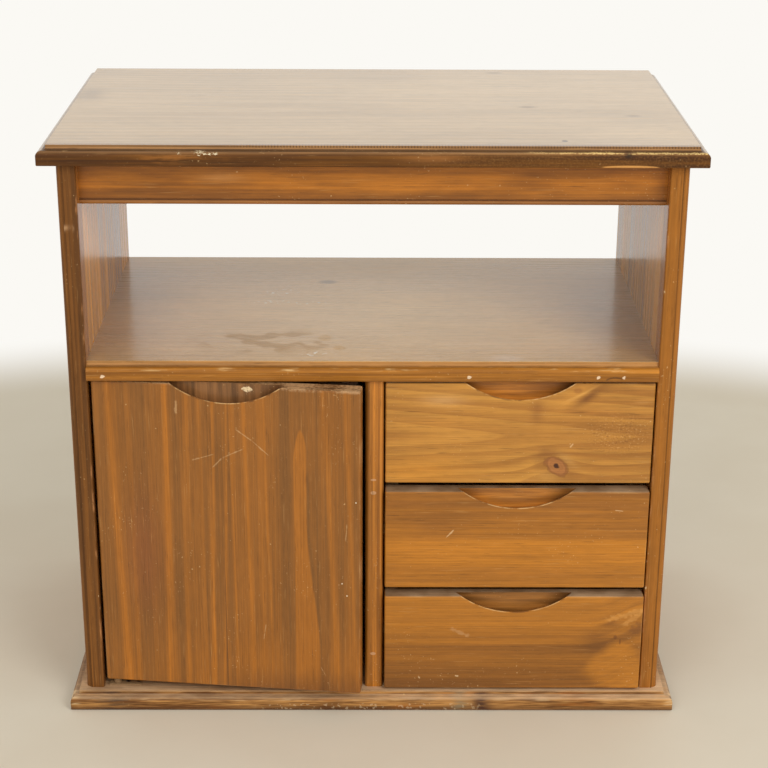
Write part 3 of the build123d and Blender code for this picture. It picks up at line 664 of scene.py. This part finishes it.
# u, v, half length, half height, and how far it lifts the rings
live_knot = (0.1968, 0.2905, 0.0150, 0.0094, 1.0)
upper_ring = 0.0125
count = ring_count(upper, (0.3256, low.y + 0.008), upper_ring, 6.5, 0.006, 0.47, 82, (live_knot,))
rings = latewood(count)
share = rings * 0.20 + striped(upper, 83, 22.0, count * upper_ring) * 0.36
share = share - upper.u.rise(0.16, 0.24) * 0.12 + 0.18
wood = share.rise(0.05, 0.85).between(stain(160, 105, 43), stain(212, 152, 67))
ragged = upper.noise((40.0, 90.0, 90.0), 3.0, 84)
branch_tilt, knot_tilt = 0.66, -0.62
# Soft patches: stain, place, half length, half height, tilt, share
patches = (
    (stain(202, 134, 44), (0.05, 0.283), 0.06, 0.018, 0.0, 0.6),
    (stain(214, 170, 114), (0.075, 0.3664), 0.022, 0.006, 0.0, 0.4),
    (stain(140, 86, 38), (0.174, 0.354), 0.007, 0.016, 0.0, 0.55),
    (stain(210, 146, 62), (0.216, 0.374), 0.028, 0.009, branch_tilt, 0.7),
    (stain(118, 70, 30), (0.229, 0.371), 0.019, 0.005, branch_tilt, ragged + 0.75),
    (stain(222, 164, 82), (0.221, 0.3735), 0.017, 0.0013, branch_tilt - 0.1, 0.6),
    (stain(222, 164, 82), (0.212, 0.3695), 0.012, 0.0010, branch_tilt - 0.2, 0.5),
    (stain(214, 158, 78), (0.190, 0.279), 0.014, 0.006, 0.0, 0.6),
    (stain(146, 94, 42), (0.186, 0.306), 0.010, 0.007, 0.0, 0.5),
    (stain(226, 172, 92), (0.2075, 0.2985), 0.010, 0.004, knot_tilt, 0.5),
)
for colour, place, half_length, half_height, tilt, share in patches:
    wood = wood.mixed(colour, upper.spot(place, half_length, half_height, tilt) * share)
branch_tip = upper.spot((0.2165, 0.3775), 0.005, 0.0035).rise(0.1, 0.8)
wood = wood.mixed(stain(140, 82, 38), branch_tip * 0.45)
wood = with_knot(wood, upper, live_knot, knot_tilt,
                 stain(126, 76, 34), stain(168, 108, 58), stain(72, 38, 22))
scuffs = upper.noise((420.0, 560.0, 560.0), 3.0, 85)
scuffed = upper.spot((0.262, 0.328), 0.034, 0.024).rise(0.15, 0.8)
wood = wood.mixed(stain(120, 74, 36), scuffs.rise(-0.06, -0.18) * scuffed * 0.6)
wood = wood.mixed(stain(216, 168, 108), scuffs.rise(0.08, 0.2) * scuffed * 0.55)
drawer_wood[1] = wood

middle = drawer_grain[2] = Grain(finish_for("drawer_2_front"), "XZY")
share = striped(middle, 86, 26.0) * 0.8 + middle.v.rise(0.218, 0.196) * 0.42 - 0.12
wood = share.rise(0.05, 0.95).between(stain(142, 89, 34), stain(190, 121, 36))
brown_patch = middle.spot((0.07, 0.222), 0.03, 0.016)
wood = wood.mixed(stain(118, 72, 34), brown_patch * 0.3)
drawer_wood[2] = wood

lower = drawer_grain[3] = Grain(finish_for("drawer_3_front"), "XZY")
lifted = lower.v - lower.u.rise(0.225, 0.300).squared() * 0.022
ragged = lower.noise((26.0, 60.0, 60.0), 3.0, 87) * 0.03
# Fan of pale figure beside the branch, between three ragged lines
fan = (lower.v - lower.u * 0.973 + 0.1808 + ragged).rise(0.008, -0.010)
fan = fan * (lower.v + lower.u * 0.79 - 0.2965 + ragged).rise(0.008, -0.008)
fan = fan * (lower.v + lower.u * 0.71 - 0.2125 + ragged).rise(-0.014, 0.010)
share = striped(lower, 88, 26.0, lifted) + (lower.v - 0.094) * 2.4 * lower.u.rise(0.30, 0.25) + fan * 0.40
share = share + lifted.bell(0.1041, 0.0022) * (lower.u.rise(0.12, 0.2) * 0.2 + 0.25)
share = share - lower.spot((0.251, 0.082), 0.018, 0.013) * 0.3
share = share - lower.spot((0.262, 0.106), 0.010, 0.006) * 0.3
wood = share.rise(0.05, 0.95).between(stain(126, 79, 32), stain(184, 118, 38))
# Curls of the branch fork: stain, start, end, width, share
curls = (
    (stain(204, 144, 72), (0.306, 0.126), (0.276, 0.101), 0.004, 0.55),
    (stain(206, 148, 76), (0.306, 0.124), (0.256, 0.108), 0.005, 0.5),
    (stain(118, 72, 36), (0.308, 0.112), (0.284, 0.092), 0.008, 0.5),
)
for colour, start, end, width, share in curls:
    wood = wood.mixed(colour, scratch(lower, start, end, width) * share)
# Small dark knots: place, half length, half height
dark_knots = (((0.2693, 0.0878), 0.0024, 0.0028), ((0.2748, 0.0817), 0.0012, 0.0040))
for place, half_length, half_height in dark_knots:
    knot = lower.spot(place, half_length, half_height).rise(0.2, 0.8)
    wood = wood.mixed(stain(102, 58, 28), knot * 0.6)
drawer_wood[3] = wood

# Scratches of each front: stain, start, end, width, share
front_scratches = {
    1: ((stain(228, 192, 142), (0.2105, 0.3125), (0.2140, 0.3170), 0.0009, 0.5),),
    2: ((stain(232, 196, 146), (0.0800, 0.2075), (0.0885, 0.2170), 0.0010, 0.6),
        (stain(222, 186, 140), (0.262, 0.2405), (0.271, 0.2395), 0.0008, 0.7)),
    3: ((stain(206, 160, 110), (0.086, 0.099), (0.108, 0.0885), 0.003, 0.4),
        (stain(228, 196, 150), (0.0515, 0.0375), (0.0535, 0.0350), 0.0016, 0.9),
        (stain(222, 190, 146), (0.0925, 0.0390), (0.0965, 0.0380), 0.0012, 0.8)),
}
# Stain of each scoop's wall where it took most and least
scoop_stains = {
    1: (stain(150, 92, 36), stain(202, 130, 50)),
    2: (stain(152, 95, 38), stain(204, 132, 52)),
    3: (stain(122, 79, 34), stain(166, 109, 48)),
}
for number in drawers:
    grain, wood = drawer_grain[number], drawer_wood[number]
    for colour, start, end, width, share in front_scratches[number]:
        wood = wood.mixed(colour, scratch(grain, start, end, width) * share)
    low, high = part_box(f"drawer_{number}_front")
    fibre = grain.fibres(90 + number)
    arris = edge_distance(grain, low, high).rise(0.0022, 0.0006)
    worn = grain.noise((30.0, 30.0, 30.0), 4.0, 94 + number)
    wood = wood.mixed(stain(206, 156, 92), arris * worn.rise(-0.05, 0.2) * 0.45)
    dark, pale = scoop_stains[number]
    wood = scoop_wear(wood, grain, grain.u, (low.x + high.x) / 2, high.z, low.y, dark, pale, 97 + number)
    dust = grain.up.rise(0.6, 0.95) * grain.v.rise(high.z - 0.002, high.z - 0.001)
    wood = wood.mixed(worn.rise(-0.2, 0.2).between(stain(136, 108, 78), stain(180, 152, 120)), dust * 0.9)
    bare = (worn + fibre).rise(-0.25, 0.25).between(stain(192, 142, 86), stain(218, 176, 120))
    wood = wood.mixed(bare, grain.w.rise(high.y - 0.0008, high.y - 0.0003))
    wood = aged(wood, grain, fibre, 140 + 7 * number)
    lacquered(grain, wood, fibre * 0.4 + dust * 0.3 + 0.36, fibre + worn * 0.3)

# Hinges and catch: the door turns on pins of two painted steel plates, in brass bushes let into its top and
# bottom edges. A magnet in a moulded housing under the shelf holds a steel strike plate on the door.

plated(stain(168, 160, 148), stain(122, 112, 100), 104, "catch_pole_plates", "strike_plate")
plated(stain(206, 168, 92), stain(150, 112, 58), 106, "upper_door_bush", "lower_door_bush")

# Pitted finishes: nodes, dark and pale stain, seed
pitted = (
    (("upper_hinge_plate", "lower_hinge_plate"), stain(128, 98, 66), stain(160, 128, 92), 107),
    (("catch_housing",), stain(70, 44, 28), stain(88, 58, 38), 108),
    (("catch_magnet",), stain(44, 44, 46), stain(66, 65, 64), 110),
)
for names, dark, pale, seed in pitted:
    moulded = Grain(finish_for(*names), "XYZ")
    pit = moulded.noise((1400.0, 1400.0, 1400.0), 3.0, seed)
    wood = (pit * 1.5 + 0.5).between(dark, pale)
    lacquered(moulded, wood, pit * 0.4 + 0.5, pit, gloss=0.5, coat=0.0, depth=0.0001)

# Door: three edge-glued pine staves with straight stripes and one long flame, hung ajar on its left edge. It
# has a finger scoop like the drawers'. Its top edge has split and gone grey, and its face is scratched.

hinge = next(joint for joint in frame["joints"] if joint["name"] == "door_hinge")
ajar = math.radians(-hinge["range_deg"][0])
pivot = hinge["pos_m"]
# Side edges and face of the panel, as distances from its pivot
door_left, door_right, door_front = -0.010, 0.276, -0.009
door_low, door_top = (level.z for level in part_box("door_panel"))
door = Grain(finish_for("door_panel"), "ZXY", (pivot[0], pivot[1], 0), -ajar)
fibre = door.fibres(112)
drift = door.noise((3.0, 8.0, 8.0), 2.0, 113) * 0.006
drift = drift + door.noise((6.0, 160.0, 160.0), 2.0, 117) * 0.004
share = striped(door, 114, 34.0) * 0.62 - 0.02
mid_height = 0.23
# Orange stripes: place across the door at mid height, lean, half width, strength
stripes = (
    (0.0112, -0.030, 0.0042, 0.42), (0.0280, -0.005, 0.0020, 0.15), (0.0670, 0.020, 0.0034, 0.42),
    (0.0885, 0.021, 0.0030, 0.28), (0.1055, 0.004, 0.0016, 0.20), (0.1168, 0.020, 0.0024, 0.38),
    (0.1300, 0.030, 0.0014, 0.28), (0.1388, 0.003, 0.0014, 0.22), (0.1550, -0.014, 0.0022, 0.30),
    (0.1758, -0.014, 0.0018, 0.24), (0.2435, -0.039, 0.0032, 0.28), (0.2655, -0.040, 0.0026, 0.20),
)
for place, lean, half_width, strength in stripes:
    across = door.v + drift - (door.u - mid_height) * lean
    share = share + across.bell(place, half_width) * strength
# Brown and pale stretches between the stripes
share = share - door.v.bell(0.042, 0.016) * 0.22 - door.v.bell(0.078, 0.004) * 0.08
share = share + door.u.rise(0.13, 0.04) * 0.12 + door.spot((0.33, 0.245), 0.06, 0.03) * 0.12
share = share - door.spot((0.215, 0.030), 0.05, 0.02) * 0.10
share = share - door.v.bell(0.1955, 0.005) * door.u.rise(0.20, 0.28) * 0.14
flame_right = door.u.rise(0.235, 0.07) * 0.0135 + 0.2182
tip = door.u + ((door.v - 0.2122) / 0.0075).squared() * 0.03
flame = (door.v + drift * 0.3).rise(0.2036, 0.2052) * (door.v - flame_right).rise(0.0012, -0.0012)
flame = flame * tip.rise(0.3445, 0.338)
beside_flame = door.v.bell(0.2095, 0.022) * (flame * -1.0 + 1.0)
share = share * (flame * -0.75 + 1.0) + flame * 0.52 - beside_flame * 0.16
share = share - (door.v - flame_right).bell(0.0022, 0.0016) * tip.rise(0.335, 0.30) * 0.18
wood = share.rise(-0.1, 1.0).between(stain(126, 82, 37), stain(182, 111, 33))
red_patch = door.v.bell(0.04, 0.02) * door.u.bell(0.19, 0.07)
wood = wood.mixed(stain(146, 84, 46), red_patch * 0.5)
foot = door.u.rise(0.062, 0.028) * door.v.rise(0.10, 0.17)
wood = wood.mixed(stain(104, 64, 32), foot * 0.5)
glue_line = door.v.bell(0.1279, 0.0006) * door.u.rise(0.19, 0.14)
wood = wood.mixed(stain(86, 54, 28), glue_line * 0.7)
face = door.w.rise(0.002, -0.002)
# Scratches: start, end, width
door_scratches = (
    ((0.3397, 0.1431), (0.3269, 0.1609), 0.0009), ((0.3269, 0.1609), (0.3106, 0.1787), 0.0009),
    ((0.2936, 0.1171), (0.3057, 0.1282), 0.0009), ((0.3057, 0.1282), (0.3172, 0.1511), 0.0009),
    ((0.3017, 0.0958), (0.3045, 0.1045), 0.0012), ((0.3045, 0.1045), (0.3099, 0.1198), 0.0007),
    ((0.3696, 0.0806), (0.3537, 0.0800), 0.0018), ((0.2358, 0.2615), (0.2144, 0.2600), 0.0007),
    ((0.1100, 0.1720), (0.0900, 0.1690), 0.0007), ((0.0600, 0.2320), (0.0480, 0.2380), 0.0006),
)
for start, end, width in door_scratches:
    wood = wood.mixed(stain(196, 154, 106), scratch(door, start, end, width) * face * 0.6)
for place in ((0.2609, 0.2712), (0.1495, 0.2613), (0.1640, 0.2560)):
    fleck = door.spot(place, 0.0010, 0.0010).rise(0.4, 0.7)
    wood = wood.mixed(stain(240, 224, 196), fleck * face * 0.9)
worn = door.noise((30.0, 30.0, 30.0), 4.0, 116)
from_side = (door.v - door_left).math("MINIMUM", (door.v - door_right) * -1.0)
arris = from_side.math("MINIMUM", door.u - door_low).rise(0.0022, 0.0006)
wood = wood.mixed(stain(200, 156, 106), arris * worn.rise(-0.08, 0.2) * 0.55)
wood = scoop_wear(wood, door, door.v, (door_left + door_right) / 2, door_top, door_front,
                  stain(104, 70, 40), stain(152, 104, 60), 118)
ragged = door.noise((300.0, 300.0, 300.0), 3.0, 119)
wall_chip = (door.spot((0.3812, 0.1550), 0.0036, 0.0062) + ragged * 0.9).rise(0.4, 0.6)
wood = wood.mixed(stain(232, 206, 164), wall_chip * ragged.rise(-0.2, 0.05))
dust = door.up.rise(0.6, 0.95) * door.u.rise(door_top - 0.002, door_top - 0.001)
grey_wood = (worn + ragged).rise(-0.25, 0.25).between(stain(128, 90, 54), stain(206, 164, 116))
wood = wood.mixed(grey_wood, dust * 0.95)
split = (door.w + door.noise((20.0, 34.0, 20.0), 4.0, 120) * 0.022).bell(-0.003, 0.0010)
wood = wood.mixed(stain(54, 34, 20), dust * split * door.v.rise(0.18, 0.2) * 0.9)
torn = door.u.rise(door_top - 0.004, door_top - 0.001) * door.v.rise(0.185, 0.2)
wood = wood.mixed(stain(196, 156, 112), torn * (worn + ragged * 0.6).rise(-0.08, 0.12) * 0.6)
wood = aged(wood, door, fibre, 124)
lacquered(door, wood, fibre * 0.4 + dust * 0.3 + 0.36, fibre + worn * 0.3)

# Floor: a plain pale screed that fades to white, sooner behind the cabinet than in front of it. Nothing but
# the floor and the cabinet's shadow is seen round it from any side.

floor_radius, floor_level, floor_rings, floor_sectors = 8.0, -0.0003, 24, 96
pale_centre, pale_radius, fade = -1.15, 1.98, 0.28
white = stain(251, 249, 244)


def disc(radius, level, rings, sectors):
    """Flat disc: x = r cos a, y = r sin a over a grid of r and a, whose last sector joins the first."""
    r = np.linspace(0.001, radius, rings)[:, None]
    a = np.linspace(0, 2 * np.pi, sectors, endpoint=False)[None, :]
    points = np.stack([r * np.cos(a), r * np.sin(a), np.full((rings, sectors), level)], -1).reshape(-1, 3)
    i, j = np.meshgrid(np.arange(rings - 1), np.arange(sectors), indexing="ij")
    k = (j + 1) % sectors
    faces = np.stack([i * sectors + j, (i + 1) * sectors + j, (i + 1) * sectors + k, i * sectors + k], -1)
    mesh = bpy.data.meshes.new("floor")
    mesh.from_pydata(points.tolist(), [], faces.reshape(-1, 4).tolist())
    return mesh


floor = bpy.data.objects.new("floor", disc(floor_radius, floor_level, floor_rings, floor_sectors))
bpy.context.scene.collection.objects.link(floor)
material = bpy.data.materials.new("floor_finish")
material.use_nodes = True
floor.data.materials.append(material)
floor_grain = Grain(material.node_tree, "XYZ")
tree = floor_grain.tree
cloud = floor_grain.noise((5.0, 5.0, 5.0), 4.0, 121)
screed = cloud.rise(-0.2, 0.2).between(stain(222, 212, 192), stain(226, 217, 198))
shader = tree.nodes["Principled BSDF"]
shader.inputs["Roughness"].default_value = 0.8
shader.inputs["Specular IOR Level"].default_value = 0.2
tree.links.new(screed.socket, shader.inputs["Base Color"])
glow = tree.nodes.new("ShaderNodeEmission")
glow.inputs["Color"].default_value = white


def seen_directly(tree):
    """1 for rays from the camera, a mirror or a clear thing, and 0 for the rays that light a surface."""
    path = tree.nodes.new("ShaderNodeLightPath")
    seen = Field(tree, path.outputs["Is Camera Ray"])
    for way in ("Is Glossy Ray", "Is Transmission Ray"):
        seen = seen.math("MAXIMUM", Field(tree, path.outputs[way]))
    return seen


away = (floor_grain.u.squared() + (floor_grain.v - pale_centre).squared()).root()
share = away.rise(pale_radius, pale_radius + fade) * seen_directly(tree)
blend = tree.nodes.new("ShaderNodeMixShader")
tree.links.new(share.socket, blend.inputs[0])
tree.links.new(shader.outputs[0], blend.inputs[1])
tree.links.new(glow.outputs[0], blend.inputs[2])
tree.links.new(blend.outputs[0], tree.nodes["Material Output"].inputs["Surface"])

# Light: a bright even room. A large soft lamp stands in front of the cabinet on the right, and a weaker one
# of the same size on the left.

room_light = 0.72
lamp_size, lamp_target = 1.6, (0, 0, 0.4)
world = bpy.data.worlds.new("room")
bpy.context.scene.world = world
world.use_nodes = True
tree = world.node_tree
background = tree.nodes["Background"]
background.inputs["Color"].default_value = white
tree.links.new((seen_directly(tree) * (1 - room_light) + room_light).socket, background.inputs["Strength"])


def soft_lamp(name, place, target, size, power):
    """Square lamp of a size that faces a target."""
    data = bpy.data.lights.new(name, "AREA")
    data.size = size
    data.energy = power
    lamp = bpy.data.objects.new(name, data)
    bpy.context.scene.collection.objects.link(lamp)
    lamp.location = place
    toward = np.subtract(target, place)
    level = math.hypot(toward[0], toward[1])
    lamp.rotation_euler = (math.atan2(level, -toward[2]), 0, math.atan2(-toward[0], toward[1]))
    lamp.visible_glossy = False


soft_lamp("right_lamp", (1.8, -2.6, 2.0), lamp_target, lamp_size, 44.0)
soft_lamp("left_lamp", (-1.2, -3.0, 2.0), lamp_target, lamp_size, 18.0)

# Camera: two metres in front of the cabinet at chest height, looking down on it. Its lens is a long one, so
# the sides of the cabinet draw in only a little.

camera_place = (-0.00279, -1.97618, 1.08584)
camera_pitch, camera_yaw, camera_roll = math.radians(21.257), math.radians(-0.464), 0.0053
camera_lens, sensor_width = 86.17, 36.0
data = bpy.data.cameras.new("camera")
data.lens = camera_lens
data.sensor_width = sensor_width
camera = bpy.data.objects.new("camera", data)
bpy.context.scene.collection.objects.link(camera)
camera.location = camera_place
turn = Euler((math.pi / 2 - camera_pitch, 0, camera_yaw)).to_matrix()
camera.rotation_euler = (turn @ Euler((0, 0, camera_roll)).to_matrix()).to_euler()
bpy.context.scene.camera = camera
bpy.context.scene.view_settings.view_transform = "Standard"
